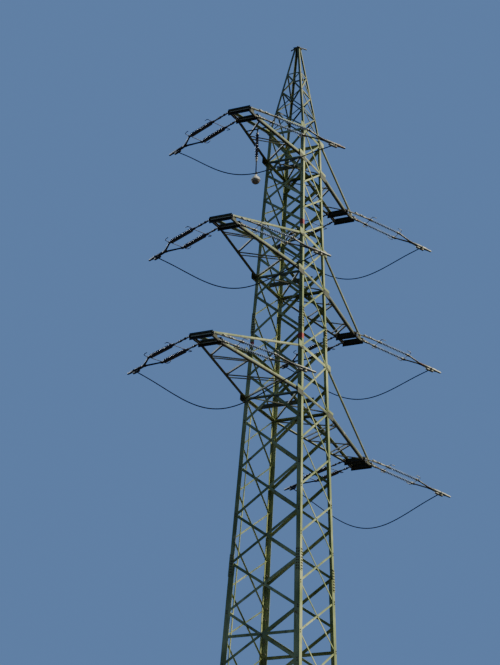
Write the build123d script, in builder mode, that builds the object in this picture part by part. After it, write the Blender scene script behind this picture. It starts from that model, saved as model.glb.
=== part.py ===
"""Lattice transmission pylon: heavy-angle tower with three pairs of arms and dead-end strings."""

import os
from math import cos, pi, radians, sin, sqrt, tan

from build123d import *

os.makedirs("parts", exist_ok=True)

# Frame: millimetres, +Z up, +X (east) along the arms, +Y (north) along the line.
# Heights of the arms' lower chords, the ties' leg joints and the peak's rings
arm_1_height = 20500
arm_pitch = 4520
tie_rises = (1700, 1480, 1220)
peak_rise = 4930
peak_ring_rises = (2155, 2980, 3760)

# Body: the four leg lines would meet at the apex height
base_half_x = 1960
base_half_y = 1794
apex_height = 49190
peak_top_half = 90

# Leg angles: flange width and wall of each length, and the splices between them
leg_flange_low = 200
leg_flange_mid = 150
leg_flange_top = 120
leg_flange_peak = 75
leg_wall_low = 16
leg_wall_mid = 12
leg_wall_top = 10
leg_wall_peak = 8
splice_low_height = 14650
splice_high_height = 23300
splice_length = 760
splice_wall = 12

# Feet
foot_side = 440
foot_thickness = 36
anchor_hole_radius = 21
anchor_spacing = 320

# Face bracing
panel_pitch = 1650
even_panels = 5
foot_panels = 6
thin_foot_level = 1200
thick_foot_level = 250
thick_bar_width = 90
thick_bar_wall = 8
thick_bar_depth = 70
thick_bar_inset = 60
thin_bar_width = 50
thin_bar_wall = 6
thin_bar_depth = 40
thin_bar_inset = 45
ring_width = 100
ring_wall = 8
ring_depth = 70
thick_ring_inset = 95
waist_joint_drop = 80
thick_top_drop = 150

# Peak bracing
peak_bar_width = 45
peak_bar_wall = 5
peak_bar_depth = 35
peak_bar_inset = 32
peak_foot_rise = 60
cap_side = 250
cap_thickness = 16
cap_lug_height = 90
cap_lug_radius = 34
earth_clamp_length = 360
earth_clamp_radius = 24

# Plan bracing inside the body at each arm
plan_bar_width = 60
plan_bar_wall = 8
plan_bar_depth = 50
plan_end_x = 70
plan_end_y = 140
middle_beam_width = 70
middle_beam_height = 140
middle_beam_end = 55
seat_clearance = 0.3

# Arms: reach of the chords for the lower, middle and upper pair
arm_reaches = (5660, 4685, 3675)
arm_tip_half = 335
arm_root_gap = 14
chord_width = 100
chord_wall = 10
chord_depth = 90
lace_width = 60
lace_wall = 8
lace_depth = 45
lace_counts = (5, 4, 3)
lace_step_ratio = 0.88
gusset_wall = 12
gusset_inner = 115
gusset_reach = 330
gusset_height = 300

# Arm tips: two rails along the arm and two beams across it, all channels
rail_height = 90
rail_width = 60
beam_height = 140
beam_width = 80
beam_half_length = 390
channel_wall = 8
inner_beam_offset = 170
outer_beam_offset = 790

# Ties from the legs to the arm tips
tie_flange = 80
tie_wall = 8
tie_root_gap = 40
tie_seat = 10
tie_gusset_reach = 240
tie_gusset_height = 240
tip_plate_length = 260
tip_plate_height = 190
tip_plate_offset = 575
tip_plate_margin = 15

# Dead-end strings: distances along a string from the middle of its two eyes
north_azimuth = 66
north_drop = 3
south_azimuth = -42
south_drop_west = 10
south_drop_east = 14
eye_radius = 36
eye_height = 70
insulator_start = 700
insulator_end = 1940
insulator_radius = 66
cap_radius = 46
cap_length = 90
collar_length = 40
link_width = 56
link_wall = 24
yoke_apex = 2560
yoke_width = 60
yoke_wall = 24
clamp_start = 2640
clamp_waist = 3230
clamp_end = 3420
clamp_radius = 44
clamp_end_radius = 30
lug_distance = 2950
lug_drop = 80
lug_radius = 38
lug_length = 130
lug_pad_length = 100
lug_pad_width = 50

# Jumpers: cords from clamp to clamp under each arm, and the sag of each
jumper_diameter = 36
jumper_runs = 13
jumper_parabola_share = 0.55
west_jumper_sags = (1320, 1210, 1360)
east_jumper_sags = (1440, 1250, 1300)

# Jumper support under the upper west arm
support_run = 7
support_bow = 720
support_link = 130
support_link_radius = 20
support_insulator_length = 1050
support_insulator_radius = 60
support_rod_radius = 24
weight_radius = 140
weight_drop = 290
support_clearance = 0.8
saddle_length = 40
saddle_width = 90
saddle_wall = 12

# Climbing rail inside the north face, beside the north-west leg
climbing_rail_bottom = 2600
climbing_rail_top = 19950
climbing_rail_inset = 300
climbing_rail_depth = 150
climbing_rail_width = 50
climbing_rail_wall = 24
bracket_wall = 8
bracket_width = 50
bracket_edge = 20

west, east, south, north = -1, 1, -1, 1
side_names = {west: "west", east: "east"}
level_names = ("lower", "middle", "upper")

arm_heights = [arm_1_height + arm_pitch * level for level in range(3)]
tie_heights = [arm + rise for arm, rise in zip(arm_heights, tie_rises)]
waist_height = tie_heights[2]
waist_joint = waist_height - waist_joint_drop
top_height = arm_heights[2] + peak_rise
peak_levels = [waist_height + peak_foot_rise] + [arm_heights[2] + rise for rise in peak_ring_rises]
waist_half_x = base_half_x * (1 - waist_height / apex_height)
waist_half_y = base_half_y * (1 - waist_height / apex_height)

# Bracing levels of the north and south faces, then the staggered ones of the east and west faces
even_bottom = arm_1_height - panel_pitch * even_panels
foot_pitch = (even_bottom - thin_foot_level) / foot_panels
thin_levels = [thin_foot_level + foot_pitch * i for i in range(foot_panels)]
thin_levels += [even_bottom + panel_pitch * i for i in range(even_panels)]
thin_levels += [arm_heights[0], tie_heights[0]]
thin_levels += [(tie_heights[0] + arm_heights[1]) / 2, arm_heights[1], tie_heights[1]]
thin_levels += [tie_heights[1] + (arm_heights[2] - tie_heights[1]) * i / 3 for i in (1, 2)]
thin_levels += [arm_heights[2], waist_joint]
thick_levels = [thick_foot_level]
thick_levels += [(low + high) / 2 for low, high in zip(thin_levels, thin_levels[1:-1])]
thick_levels += [waist_joint - thick_top_drop]
thin_rings = arm_heights + tie_heights[:2] + [waist_joint]
thick_rings = [even_bottom] + arm_heights + [waist_joint]


def half_width(base_half, waist_half, z):
    """Half width of the tower at a height."""
    if z <= waist_height:
        return base_half * (1 - z / apex_height)
    share = (z - waist_height) / (top_height - waist_height)
    return waist_half + (peak_top_half - waist_half) * share


def half_x(z):
    """Half width along X at a height."""
    return half_width(base_half_x, waist_half_x, z)


def half_y(z):
    """Half width along Y at a height."""
    return half_width(base_half_y, waist_half_y, z)


def heel(sx, sy, z):
    """Point on a leg's outer corner line."""
    return Vector(sx * half_x(z), sy * half_y(z), z)


def save(builder, name):
    """Label a finished piece and write its file."""
    builder.part.label = name
    export_step(builder.part, f"parts/{name}.step")


def face_slope(sx, low, high):
    """Length along a tower face for each unit of height."""
    half = half_x if sx else half_y
    return sqrt(1 + ((half(low) - half(high)) / (high - low)) ** 2)


def face_plane(sx, sy, low, high, wall):
    """Plane of a tower face behind legs of a wall; x runs across the face and y up it."""
    low_point = Vector(sx * half_x(low), sy * half_y(low), low)
    high_point = Vector(sx * half_x(high), sy * half_y(high), high)
    across = Vector(-sy, sx, 0)
    outward = across.cross(high_point - low_point).normalized()
    inset = wall / face_slope(sx, low, high)
    return Plane(origin=low_point - outward * inset, x_dir=across, z_dir=outward)


def leg_length(sx, sy, low, high, flange, wall, outward=0):
    """One length of leg angle: a level section carried along the leg's corner line."""
    run = heel(sx, sy, high) - heel(sx, sy, low)
    corner_x = half_x(low) + outward
    corner_y = half_y(low) + outward
    with BuildSketch(Plane.XY.offset(low)) as section:
        with Locations((sx * (corner_x - flange / 2), sy * (corner_y - wall / 2))):
            Rectangle(flange, wall)
        with Locations((sx * (corner_x - wall / 2), sy * (corner_y - flange / 2))):
            Rectangle(wall, flange)
    extrude(section.sketch, amount=run.length, dir=run.normalized())


def make_leg(sx, sy, name):
    """A leg from its foot plate to the peak, in four lengths with bolted splice covers."""
    foot = heel(sx, sy, 0)
    inset = leg_flange_low / 2
    with BuildPart() as leg:
        with BuildSketch() as plate:
            with Locations((foot.X - sx * inset, foot.Y - sy * inset)):
                Rectangle(foot_side, foot_side)
                with GridLocations(anchor_spacing, anchor_spacing, 2, 2):
                    Circle(anchor_hole_radius, mode=Mode.SUBTRACT)
        extrude(plate.sketch, amount=foot_thickness)
        leg_length(sx, sy, foot_thickness / 2, splice_low_height, leg_flange_low, leg_wall_low)
        leg_length(sx, sy, splice_low_height, splice_high_height, leg_flange_mid, leg_wall_mid)
        leg_length(sx, sy, splice_high_height, waist_height, leg_flange_top, leg_wall_top)
        leg_length(sx, sy, waist_height, top_height, leg_flange_peak, leg_wall_peak)
        for height, flange in ((splice_low_height, leg_flange_mid), (splice_high_height, leg_flange_top)):
            low = height - splice_length / 2
            high = height + splice_length / 2
            leg_length(sx, sy, low, high, flange + splice_wall, splice_wall, outward=splice_wall)
    save(leg, name)


def bar_strip(start, end, width, shift):
    """A strip along a bar's line, moved sideways in the sketch."""
    run = Vector(end[0] - start[0], end[1] - start[1])
    across = Vector(-run.Y, run.X).normalized() * shift
    middle = ((start[0] + end[0]) / 2 + across.X, (start[1] + end[1]) / 2 + across.Y)
    angle = Vector(1, 0).get_signed_angle(run, Vector(0, 0, 1))
    with Locations(middle):
        Rectangle(run.length, width, rotation=angle)


def flat_lattice(plane, bars, width, wall, depth, direction):
    """Angle bars fused into one flat lattice: flanges in the plane, ribs standing from it."""
    with BuildSketch(plane) as flanges:
        for start, end in bars:
            bar_strip(start, end, width, 0)
    extrude(flanges.sketch, amount=direction * wall)
    with BuildSketch(plane) as ribs:
        for start, end in bars:
            rising = 1 if end[0] > start[0] else -1
            bar_strip(start, end, wall, rising * (width - wall) / 2)
    extrude(ribs.sketch, amount=direction * depth)


def cross_bars(points):
    """The crossing bars of a row of panels, from its joints' half widths and heights."""
    bars = []
    for (low_u, low_v), (high_u, high_v) in zip(points, points[1:]):
        bars.append(((-low_u, low_v), (high_u, high_v)))
        bars.append(((low_u, low_v), (-high_u, high_v)))
    return bars


def make_side(sx, sy, levels, rings, bar_size, bar_inset, ring_inset, name):
    """One side of the body from the feet to the waist, stepped inward with the leg walls."""
    half = half_y if sx else half_x
    slope = face_slope(sx, 0, waist_height)
    stretches = (
        (0, splice_low_height, leg_wall_low),
        (splice_low_height, splice_high_height, leg_wall_mid),
        (splice_high_height, waist_height, leg_wall_top),
    )
    with BuildPart() as side:
        for bottom, top, wall in stretches:
            plane = face_plane(sx, sy, 0, waist_height, wall)
            bars = []
            for low, high in zip(levels, levels[1:]):
                if bottom <= low < top:
                    bars += cross_bars([(half(z) - bar_inset, z * slope) for z in (low, high)])
            flat_lattice(plane, bars, *bar_size, -1)
            flats = []
            for z in rings:
                if bottom <= z < top:
                    u = half(z) - ring_inset
                    flats.append(((-u, z * slope), (u, z * slope)))
            if flats:
                flat_lattice(plane, flats, ring_width, ring_wall, ring_depth, -1)
    save(side, name)


def make_peak_bracing():
    """The four braced sides of the peak."""
    with BuildPart() as bracing:
        for sx, sy in ((west, 0), (east, 0), (0, south), (0, north)):
            half = half_y if sx else half_x
            slope = face_slope(sx, waist_height, top_height)
            plane = face_plane(sx, sy, waist_height, top_height, leg_wall_peak)
            points = [(half(z) - peak_bar_inset, (z - waist_height) * slope) for z in peak_levels]
            bars = cross_bars(points)
            bars += [((-u, v), (u, v)) for u, v in (points[-1:] if sx else points[1:])]
            flat_lattice(plane, bars, peak_bar_width, peak_bar_wall, peak_bar_depth, -1)
    save(bracing, "peak_bracing")


def rod(start, end, radius, sides=8):
    """A straight polygonal rod between two points."""
    with BuildSketch(Plane(origin=start, z_dir=end - start)) as section:
        RegularPolygon(radius, sides)
    extrude(section.sketch, amount=(end - start).length)


def strap(start, end, width, wall):
    """A flat bar between two points, with its width level."""
    run = end - start
    with BuildSketch(Plane(origin=start, x_dir=run.cross(Vector(0, 0, 1)), z_dir=run)) as section:
        Rectangle(width, wall)
    extrude(section.sketch, amount=run.length)


def make_peak_cap():
    """Plate across the tops of the legs, with the earth wire's two clamps on a lug."""
    with BuildPart() as cap:
        with BuildSketch(Plane.XY.offset(top_height)) as plate:
            Rectangle(cap_side, cap_side)
        extrude(plate.sketch, amount=cap_thickness)
        lug_top = top_height + cap_thickness + cap_lug_height
        rod(Vector(0, 0, top_height), Vector(0, 0, lug_top), cap_lug_radius)
        clamp_height = lug_top - earth_clamp_radius
        for azimuth, drop in ((north_azimuth, north_drop), (south_azimuth, south_drop_west)):
            reach = earth_clamp_length * cos(radians(drop))
            run_x = reach * cos(radians(azimuth))
            run_y = reach * sin(radians(azimuth))
            fall = earth_clamp_length * sin(radians(drop)) / 2
            rod(Vector(0, 0, clamp_height), Vector(run_x, run_y, clamp_height - fall), earth_clamp_radius)
    save(cap, "peak_cap")


def channel(start, run, inward, height, width):
    """A channel along a run, its web standing at the start and its flanges pointing inward."""
    plane = Plane(origin=start, x_dir=inward, z_dir=Vector(inward).cross(Vector(0, 0, 1)))
    outline = (
        (0, 0),
        (width, 0),
        (width, channel_wall),
        (channel_wall, channel_wall),
        (channel_wall, height - channel_wall),
        (width, height - channel_wall),
        (width, height),
        (0, height),
    )
    with BuildSketch(plane) as section:
        with BuildLine():
            Polyline(*outline, close=True)
        make_face()
    extrude(section.sketch, amount=Vector(run).dot(plane.z_dir))


def make_plan_bracing(level, name):
    """Diagonals and a middle beam across the body, on the ribs of the ring at an arm."""
    z = arm_heights[level]
    rib_fall = middle_beam_end * base_half_y / apex_height
    seat = z + ring_width / 2 - rib_fall + seat_clearance
    end_x = half_x(z) - plan_end_x
    end_y = half_y(z) - plan_end_y
    bars = [((-end_x, -end_y), (end_x, end_y)), ((-end_x, end_y), (end_x, -end_y))]
    beam_end = half_y(z) - middle_beam_end
    with BuildPart() as bracing:
        flat_lattice(Plane.XY.offset(seat), bars, plan_bar_width, plan_bar_wall, plan_bar_depth, 1)
        corner = (-middle_beam_width / 2, -beam_end, seat)
        channel(corner, (0, 2 * beam_end, 0), (1, 0, 0), middle_beam_height, middle_beam_width)
    save(bracing, name)


def chord_y(level, x):
    """Distance of an arm's chord line from the arm's middle at a distance along X."""
    z = arm_heights[level]
    root = half_y(z) - chord_width / 2 + gusset_wall / 2
    share = (x - half_x(z)) / (arm_reaches[level] - half_x(z))
    return root + (arm_tip_half - root) * share


def lace_points(level):
    """Distances along X of the joints of an arm's lacing, with shrinking steps."""
    start = half_x(arm_heights[level]) + chord_width / 2
    end = arm_reaches[level] - chord_width / 2
    steps = [lace_step_ratio ** i for i in range(lace_counts[level])]
    return [start + (end - start) * sum(steps[:i]) / sum(steps) for i in range(len(steps) + 1)]


def side_gusset(sx, sy, height, reach, tall):
    """Plate on the outside of a leg flange that reaches past the leg's corner."""
    plane = face_plane(0, sy, 0, waist_height, 0)
    middle = half_x(height) + (reach - gusset_inner) / 2
    with BuildSketch(plane) as plate:
        with Locations((sx * plane.x_dir.X * middle, height * face_slope(0, 0, waist_height))):
            Rectangle(gusset_inner + reach, tall)
    extrude(plate.sketch, amount=gusset_wall)


def string_plane(sx, sy, level):
    """Plane of a dead-end string: x runs out along it and y across its two insulators."""
    south_drop = south_drop_east if sx == east else south_drop_west
    azimuth = radians(north_azimuth if sy == north else south_azimuth)
    drop = radians(north_drop if sy == north else south_drop)
    outward = Vector(cos(azimuth) * cos(drop), sin(azimuth) * cos(drop), -sin(drop))
    across = Vector(-sin(azimuth), cos(azimuth), 0)
    middle_x = arm_reaches[level] + (inner_beam_offset + outer_beam_offset) / 2
    middle_y = beam_half_length + seat_clearance + eye_radius
    middle_z = arm_heights[level] - chord_wall / 2 + beam_height / 2
    origin = (sx * middle_x, sy * middle_y, middle_z)
    return Plane(origin=origin, x_dir=outward, z_dir=outward.cross(across))


def string_point(plane, distance, side=0, rise=0):
    """Point of a string from its distance outward, sideways and upward."""
    return plane.origin + plane.x_dir * distance + plane.y_dir * side + plane.z_dir * rise


def jumper_end(sx, sy, level):
    """Where a jumper meets the lug under a clamp."""
    return string_point(string_plane(sx, sy, level), lug_distance, rise=-lug_drop)


def jumper_point(sx, level, share):
    """Point of a jumper at a share of its span; the supported one bows towards the arm's tip."""
    start = jumper_end(sx, north, level)
    span = jumper_end(sx, south, level) - start
    sag = (east_jumper_sags if sx == east else west_jumper_sags)[level]
    parabola = 4 * share * (1 - share)
    wave = (1 - cos(2 * pi * share)) / 2
    fall = sag * (jumper_parabola_share * parabola + (1 - jumper_parabola_share) * wave)
    bow = support_bow * sin(pi * share) if (sx, level) == (west, 2) else 0
    return start + span * share + Vector(-bow, 0, -fall)


def jumper_points(sx, level):
    """The corner points of a jumper's route."""
    return [jumper_point(sx, level, i / jumper_runs) for i in range(jumper_runs + 1)]


def support_grip():
    """Plane across the supported jumper, in the middle of one of its runs."""
    before, after = jumper_points(west, 2)[support_run : support_run + 2]
    return Plane(origin=(before + after) / 2, x_dir=(1, 0, 0), z_dir=after - before)


def support_axis():
    """Upright line of the jumper support, beside the jumper that it holds."""
    aside = jumper_diameter / 2 + support_clearance + support_rod_radius
    return support_grip().origin - Vector(aside, 0, 0)


def make_arm(sx, level, name):
    """Bottom frame of an arm: chords, lacing, and the two rails and two beams of its tip."""
    z = arm_heights[level]
    reach = arm_reaches[level]
    root = half_x(z) + arm_root_gap
    floor = z - chord_wall / 2
    points = lace_points(level)
    laces = []
    for i in range(len(points) - 1):
        turn = 1 if i % 2 == 0 else -1
        start = (sx * points[i], turn * chord_y(level, points[i]))
        end = (sx * points[i + 1], -turn * chord_y(level, points[i + 1]))
        laces.append((start, end))
    if (sx, level) == (west, 2):
        cross_x = support_axis().X
        cross_y = chord_y(level, -cross_x)
        laces.append(((cross_x, -cross_y), (cross_x, cross_y)))
    rail_length = outer_beam_offset + beam_width / 2
    with BuildPart() as arm:
        for sy in (south, north):
            root_point = (sx * root, sy * chord_y(level, root))
            tip_point = (sx * (reach + chord_width / 2), sy * arm_tip_half)
            with BuildSketch(Plane.XY.offset(floor)) as flange:
                bar_strip(root_point, tip_point, chord_width, 0)
            extrude(flange.sketch, amount=chord_wall)
            with BuildSketch(Plane.XY.offset(floor)) as rib:
                bar_strip(root_point, tip_point, chord_wall, sx * sy * (chord_width - chord_wall) / 2)
            extrude(rib.sketch, amount=chord_depth)
            side_gusset(sx, sy, z, gusset_reach, gusset_height)
            rail_corner = (sx * reach, sy * (arm_tip_half + rail_width / 2), floor)
            channel(rail_corner, (sx * rail_length, 0, 0), (0, -sy, 0), rail_height, rail_width)
        flat_lattice(Plane.XY.offset(floor), laces, lace_width, lace_wall, lace_depth, 1)
        for offset in (inner_beam_offset, outer_beam_offset):
            corner = (sx * (reach + offset + beam_width / 2), -beam_half_length, floor)
            channel(corner, (0, 2 * beam_half_length, 0), (-sx, 0, 0), beam_height, beam_width)
            for sy in (south, north):
                end_y = sy * (beam_half_length - channel_wall / 2)
                with Locations((sx * (reach + offset), end_y, floor + beam_height / 2)):
                    Box(beam_width, channel_wall, beam_height)
    save(arm, name)


def make_ties(level, name):
    """Ties of a pair of arms: a gusset on each leg, an angle bar, and a plate on the tip's rail."""
    tie = tie_heights[level]
    reach = arm_reaches[level]
    floor = arm_heights[level] - chord_wall / 2
    rail_face = arm_tip_half + rail_width / 2 + seat_clearance
    end_x = reach + tip_plate_offset + tip_plate_length / 2 - tip_plate_margin
    end_z = floor + tip_plate_height - tip_plate_margin
    with BuildPart() as ties:
        for sx in (west, east):
            for sy in (south, north):
                side_gusset(sx, sy, tie, tie_gusset_reach, tie_gusset_height)
                plate_x = sx * (reach + tip_plate_offset)
                plate_y = sy * (rail_face + gusset_wall / 2)
                with Locations((plate_x, plate_y, floor + tip_plate_height / 2)):
                    Box(tip_plate_length, gusset_wall, tip_plate_height)
                start = Vector(sx * (half_x(tie) + tie_root_gap), sy * (half_y(tie) + tie_seat), tie)
                run = Vector(sx * end_x, sy * (rail_face + tie_seat), end_z) - start
                level_dir = run.cross(Vector(0, 0, 1)).normalized()
                inward = -1 if level_dir.Y * sy > 0 else 1
                outline = (
                    (0, 0),
                    (inward * tie_flange, 0),
                    (inward * tie_flange, tie_wall),
                    (inward * tie_wall, tie_wall),
                    (inward * tie_wall, tie_flange),
                    (0, tie_flange),
                )
                with BuildSketch(Plane(origin=start, x_dir=level_dir, z_dir=run)) as section:
                    with BuildLine():
                        Polyline(*outline, close=True)
                    make_face()
                extrude(section.sketch, amount=run.length)
    save(ties, name)


def make_insulators(sx, level, name):
    """The four insulators of an arm: porcelain bodies between metal caps."""
    eye_half = (outer_beam_offset - inner_beam_offset) / 2
    with BuildPart() as insulators:
        for sy in (south, north):
            plane = string_plane(sx, sy, level)
            for side in (west, east):
                aside = side * eye_half * plane.y_dir.X
                start = string_point(plane, insulator_start, aside)
                body_start = string_point(plane, insulator_start + cap_length, aside)
                body_end = string_point(plane, insulator_end - cap_length, aside)
                end = string_point(plane, insulator_end, aside)
                rod(start, end, cap_radius)
                rod(body_start, body_end, insulator_radius, 10)
    save(insulators, name)


def make_fittings(sx, level, name):
    """Eyes, links, yokes and clamps of an arm's two strings, with a lug for the jumper."""
    eye_half = (outer_beam_offset - inner_beam_offset) / 2
    route = jumper_points(sx, level)
    with BuildPart() as fittings:
        for sy in (south, north):
            plane = string_plane(sx, sy, level)
            for side in (west, east):
                aside = side * eye_half * plane.y_dir.X
                eye = plane.origin + Vector(side * eye_half, 0, 0)
                collar_start = string_point(plane, insulator_start - collar_length, aside)
                collar_end = string_point(plane, insulator_start, aside)
                with Locations(eye):
                    Cylinder(eye_radius, eye_height)
                link_end = string_point(plane, insulator_start - collar_length / 2, aside)
                strap(eye, link_end, link_width, link_wall)
                rod(collar_start, collar_end, cap_radius)
                tail_start = string_point(plane, insulator_end, aside)
                tail_end = string_point(plane, insulator_end + collar_length, aside)
                rod(tail_start, tail_end, cap_radius)
                yoke_start = string_point(plane, insulator_end + collar_length / 2, aside)
                strap(yoke_start, string_point(plane, yoke_apex), yoke_width, yoke_wall)
            neck_start = string_point(plane, yoke_apex - yoke_width)
            neck_end = string_point(plane, clamp_start + yoke_wall)
            strap(neck_start, neck_end, yoke_width, yoke_wall)
            rod(string_point(plane, clamp_start), string_point(plane, clamp_waist), clamp_radius)
            rod(string_point(plane, clamp_waist), string_point(plane, clamp_end), clamp_end_radius)
            end = route[0] if sy == north else route[-1]
            beside = route[1] if sy == north else route[-2]
            rod(end, end + (end - beside).normalized() * lug_length, lug_radius)
            pad_start = string_point(plane, lug_distance + lug_length / 2, rise=-lug_drop)
            pad_end = string_point(plane, lug_distance + lug_length / 2)
            strap(pad_start, pad_end, lug_pad_length, lug_pad_width)
    save(fittings, name)


def turn_radius(before, corner, after):
    """Radius of the arc at a corner of a cord's route."""
    first = corner - before
    second = after - corner
    return 0.45 * min(first.length, second.length) / tan(radians(first.get_angle(second)) / 2)


def make_jumper(sx, level, name):
    """A jumper: straight runs joined by tangent arcs."""
    points = jumper_points(sx, level)
    radii = [turn_radius(*points[i : i + 3]) for i in range(len(points) - 2)]
    with BuildPart() as jumper:
        with BuildLine() as route:
            FilletPolyline(*points, radius=radii)
        with BuildSketch(Plane(origin=points[0], z_dir=points[1] - points[0])):
            RegularPolygon(jumper_diameter / 2, 8)
        sweep(path=route.wire())
    print(name, "length", round(route.wire().length), "radii", [round(radius) for radius in radii])
    save(jumper, name)


def make_support_insulator():
    """Insulator of the jumper support, hung by a link from the arm's cross bar."""
    axis = support_axis()
    top = arm_heights[2] - chord_wall / 2 - seat_clearance
    body_top = top - support_link
    bottom = body_top - support_insulator_length
    with BuildPart() as insulator:
        rod(Vector(axis.X, axis.Y, top), Vector(axis.X, axis.Y, body_top), support_link_radius)
        rod(Vector(axis.X, axis.Y, body_top), Vector(axis.X, axis.Y, bottom), cap_radius)
        body_start = Vector(axis.X, axis.Y, body_top - cap_length)
        body_end = Vector(axis.X, axis.Y, bottom + cap_length)
        rod(body_start, body_end, support_insulator_radius, 10)
    save(insulator, "jumper_support_insulator")


def make_support_weight():
    """Rod below the support insulator, with a saddle under the jumper and a round weight."""
    axis = support_axis()
    top = arm_heights[2] - chord_wall / 2 - seat_clearance - support_link - support_insulator_length
    middle = axis.Z - weight_drop
    tall = weight_radius * sin(radians(67.5))
    short = weight_radius * cos(radians(67.5))
    profile = (
        (0, -weight_radius),
        (short, -tall),
        (tall, -short),
        (tall, short),
        (short, tall),
        (0, weight_radius),
    )
    with BuildPart() as weight:
        rod(Vector(axis.X, axis.Y, top), Vector(axis.X, axis.Y, middle), support_rod_radius)
        grip = support_grip()
        below = Vector(0, 0, -1) + grip.z_dir * grip.z_dir.Z
        middle_drop = jumper_diameter / 2 + support_clearance + saddle_wall / 2
        saddle_start = grip.origin + below.normalized() * middle_drop - grip.z_dir * (saddle_length / 2)
        strap(saddle_start, saddle_start + grip.z_dir * saddle_length, saddle_width, saddle_wall)
        centre = (axis.X, axis.Y, middle)
        with BuildSketch(Plane(origin=centre, x_dir=(1, 0, 0), z_dir=(0, -1, 0))) as half:
            with BuildLine():
                Polyline(*profile, close=True)
            make_face()
        revolve(half.sketch, axis=Axis(centre, (0, 0, 1)))
    save(weight, "jumper_support_weight")


def make_climbing_rail():
    """Rail beside the north-west leg, on brackets from the leg's inner face."""
    slope = face_slope(0, 0, waist_height)
    outer = face_plane(0, north, 0, waist_height, 0)
    back = outer.offset(-climbing_rail_depth)
    ends = [(half_x(z) - climbing_rail_inset, z * slope) for z in (climbing_rail_bottom, climbing_rail_top)]
    with BuildPart() as rail:
        with BuildSketch(back) as strip:
            bar_strip(*ends, climbing_rail_width, 0)
        extrude(strip.sketch, amount=climbing_rail_wall)
        for z in thick_levels:
            if climbing_rail_bottom < z < climbing_rail_top:
                low = z <= splice_low_height
                flange = leg_flange_low if low else leg_flange_mid
                wall = leg_wall_low if low else leg_wall_mid
                stem_u = half_x(z) - flange + bracket_edge
                rail_u = half_x(z) - climbing_rail_inset
                stem_depth = climbing_rail_depth - wall / slope - seat_clearance
                with BuildSketch(back) as stem:
                    with Locations((stem_u, z * slope)):
                        Rectangle(bracket_wall, bracket_width)
                extrude(stem.sketch, amount=stem_depth)
                with BuildSketch(back) as arm:
                    with Locations(((stem_u + rail_u) / 2, z * slope)):
                        Rectangle(stem_u - rail_u, bracket_width)
                extrude(arm.sketch, amount=bracket_wall)
    save(rail, "climbing_rail")


thin_bar = (thin_bar_width, thin_bar_wall, thin_bar_depth)
thin_insets = (thin_bar_inset, thin_bar_inset)
for sy, sy_name in ((south, "south"), (north, "north")):
    for sx, sx_name in side_names.items():
        make_leg(sx, sy, f"leg_{sy_name}_{sx_name}")
    make_side(0, sy, thin_levels, thin_rings, thin_bar, *thin_insets, f"side_{sy_name}")
make_peak_bracing()
make_peak_cap()
thick_bar = (thick_bar_width, thick_bar_wall, thick_bar_depth)
thick_insets = (thick_bar_inset, thick_ring_inset)
for sx, sx_name in side_names.items():
    make_side(sx, 0, thick_levels, thick_rings, thick_bar, *thick_insets, f"side_{sx_name}")
    for level, level_name in enumerate(level_names):
        make_arm(sx, level, f"{sx_name}_arm_{level_name}")
        make_insulators(sx, level, f"{sx_name}_insulators_{level_name}")
        make_fittings(sx, level, f"{sx_name}_fittings_{level_name}")
        make_jumper(sx, level, f"{sx_name}_jumper_{level_name}")
for level, level_name in enumerate(level_names):
    make_plan_bracing(level, f"plan_bracing_{level_name}")
    make_ties(level, f"arm_ties_{level_name}")
make_support_insulator()
make_support_weight()
make_climbing_rail()
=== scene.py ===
"""Looks of a lattice transmission pylon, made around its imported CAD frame. Metres, +Z up."""

from math import cos, pi, radians, sin, sqrt

import bmesh
import bpy
from mathutils import Matrix, Vector


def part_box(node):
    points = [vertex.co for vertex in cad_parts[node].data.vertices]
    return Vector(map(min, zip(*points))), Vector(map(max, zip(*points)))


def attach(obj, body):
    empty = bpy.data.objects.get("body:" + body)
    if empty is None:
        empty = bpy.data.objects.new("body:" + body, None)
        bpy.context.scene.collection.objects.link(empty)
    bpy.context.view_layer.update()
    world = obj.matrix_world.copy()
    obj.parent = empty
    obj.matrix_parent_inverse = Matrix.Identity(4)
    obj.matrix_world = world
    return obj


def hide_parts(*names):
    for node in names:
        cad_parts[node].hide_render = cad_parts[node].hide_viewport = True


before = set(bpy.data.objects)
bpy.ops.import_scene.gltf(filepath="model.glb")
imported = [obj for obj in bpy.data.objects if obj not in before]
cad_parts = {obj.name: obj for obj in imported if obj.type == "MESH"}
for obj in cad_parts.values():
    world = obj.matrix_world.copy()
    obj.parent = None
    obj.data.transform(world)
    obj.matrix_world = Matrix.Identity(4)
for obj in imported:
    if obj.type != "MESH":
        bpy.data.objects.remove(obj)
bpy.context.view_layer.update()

# The legs. Four corner angles of painted galvanised steel, rolled in lengths and bolted end to
# end through splice covers. Each stands on a base plate.
base_half_x = 1.960
base_half_y = 1.794
apex_height = 49.190
waist_height = 30.760
top_height = 34.470
peak_top_half = 0.090
foot_thickness = 0.036
anchor_spacing = 0.320
leg_flanges = ((14.650, 0.200, 0.016), (23.300, 0.150, 0.012), (waist_height, 0.120, 0.010))
splice_heights = (14.650, 23.300)
splice_length = 0.760
splice_wall = 0.012
splice_margin = 0.05
splice_rows = 8
splice_insets = (0.34, 0.74)
bolt_across = 0.036
bolt_height = 0.016
washer_height = 0.004
band_rises = {"leg_south_west": (22.485, 26.855), "leg_north_west": (22.410,)}
band_height = 0.190
paint_green = (0.155, 0.190, 0.062, 1)
paint_pale = (0.320, 0.350, 0.145, 1)
paint_dark = (0.042, 0.048, 0.014, 1)
rust_brown = (0.120, 0.042, 0.012, 1)
sky_and_soil_white = (0.560, 0.545, 0.400, 1)
iron_dark = (0.026, 0.023, 0.014, 1)
bolt_grey = (0.085, 0.080, 0.045, 1)
band_red = (0.300, 0.022, 0.016, 1)


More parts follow.
